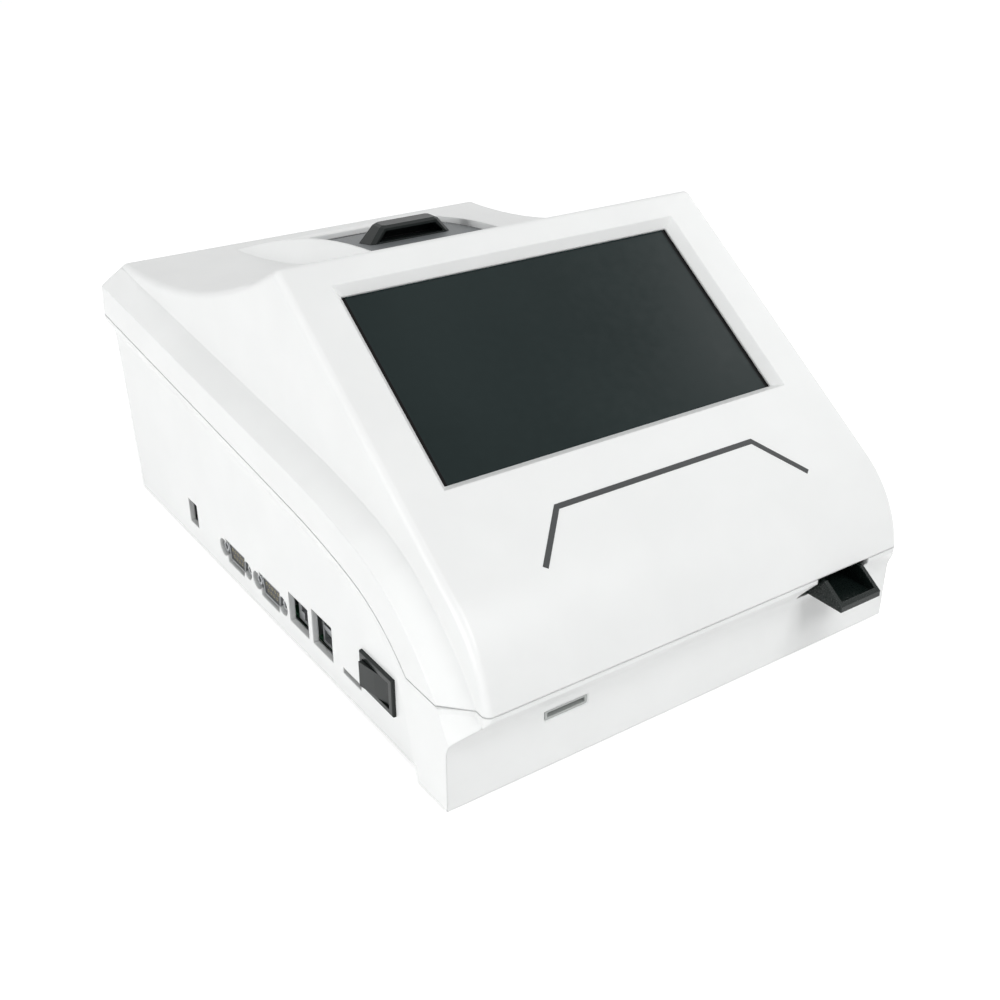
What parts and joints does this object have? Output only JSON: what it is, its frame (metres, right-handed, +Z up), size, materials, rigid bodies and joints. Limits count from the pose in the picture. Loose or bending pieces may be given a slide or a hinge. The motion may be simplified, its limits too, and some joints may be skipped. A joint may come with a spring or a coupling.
{
  "type": "fluorescence immunoassay analyzer",
  "caption": "Bench-top analyzer that draws a test cartridge in on a sliding tray, reads its fluorescence and prints the result, with a tilted touch display.",
  "frame": {"origin": "middle of the bounding box at the bottom of the feet", "axes": "+X to the right seen from the front, +Y from the front to the rear, +Z up; the display, the card slot and the tray face -Y, and the sockets and the power switch are on the -X side"},
  "size_m": [0.22, 0.326, 0.159],
  "materials": {
    "housing": "white moulded plastic",
    "light_grey_plastic": "grey moulded plastic",
    "rubber": "black rubber",
    "platen_rubber": "black rubber on a steel shaft",
    "glass": "dark glass with a black border",
    "lcd": "steel back with a dark panel",
    "black_plastic": "black plastic",
    "grey_plastic": "dark grey plastic",
    "gear_plastic": "natural plastic",
    "steel": "bright steel",
    "sheet": "plain sheet",
    "optic": "coated glass",
    "circuit_board": "green circuit board",
    "paper": "thermal paper"
  },
  "bodies": {
    "housing": {"board_chips": "black_plastic", "board_screws": "steel", "bottom_housing": "housing", "card_slot": "steel", "chassis_screws": "steel", "dc_inlet": "black_plastic", "display_bracket": "sheet", "display_screws": "steel", "drive_chassis": "sheet", "emission_filter": "optic", "excitation_led": "sheet", "guide_rods": "steel", "hinge_pin": "steel", "housing_screws": "steel", "id_card_socket": "black_plastic", "id_reader_board": "circuit_board", "id_slot_frame": "light_grey_plastic", "lan_port": "steel", "lcd_module": "lcd", "main_board": "circuit_board", "objective_lens": "optic", "optical_head": "black_plastic", "optics_bridge": "sheet", "photodiode_board": "black_plastic", "print_head": "black_plastic", "printer_frame": "grey_plastic", "printer_motor": "steel", "printer_screws": "steel", "rubber_feet": "rubber", "serial_inserts": "black_plastic", "serial_port_1": "steel", "serial_port_2": "steel", "speaker": "black_plastic", "switch_frame": "black_plastic", "tear_bar": "black_plastic", "top_cover": "housing", "touch_glass": "glass", "tray_motor": "steel", "tray_sensor": "black_plastic", "usb_port": "steel"},
    "tray": {"tray": "black_plastic", "tray_rack": "black_plastic"},
    "drive_pinion": {"drive_pinion": "gear_plastic"},
    "power_rocker": {"power_rocker": "black_plastic"},
    "printer_door": {"printer_door": "grey_plastic", "door_handle": "black_plastic"},
    "platen": {"platen_roller": "platen_rubber", "platen_gear": "gear_plastic"},
    "printer_motor_gear": {"printer_motor_gear": "gear_plastic"},
    "paper_roll": {"paper_roll": "paper"}
  },
  "joints": [
    {"name": "tray_slide", "type": "slide", "parent": "housing", "child": "tray", "axis": [0, -1, 0], "range_m": [0, 0.058]},
    {"name": "pinion_turn", "type": "hinge", "parent": "housing", "child": "drive_pinion", "pos_m": [0.0489, -0.07225, 0.036], "axis": [0, 0, 1], "range_deg": [-520, 0]},
    {"name": "power_switch", "type": "hinge", "parent": "housing", "child": "power_rocker", "pos_m": [-0.1062, -0.09065, 0.0243], "axis": [0, 0, 1], "range_deg": [-18, 0]},
    {"name": "door_hinge", "type": "hinge", "parent": "housing", "child": "printer_door", "pos_m": [0, 0.08975, 0.1272], "axis": [-1, 0, 0], "range_deg": [0, 80]},
    {"name": "paper_turn", "type": "hinge", "parent": "housing", "child": "paper_roll", "pos_m": [0, 0.06475, 0.1065], "axis": [1, 0, 0], "continuous": true},
    {"name": "platen_turn", "type": "hinge", "parent": "printer_door", "child": "platen", "pos_m": [0, 0.04425, 0.1295], "axis": [1, 0, 0], "continuous": true},
    {"name": "motor_gear_turn", "type": "hinge", "parent": "housing", "child": "printer_motor_gear", "pos_m": [0, 0.04225, 0.1215], "axis": [1, 0, 0], "continuous": true}
  ],
  "couplings": [
    {"joint": "pinion_turn", "follows": "tray_slide", "rad_per_m": -156.25},
    {"joint": "platen_turn", "follows": "paper_turn", "ratio": 4},
    {"joint": "motor_gear_turn", "follows": "paper_turn", "ratio": -8}
  ]
}
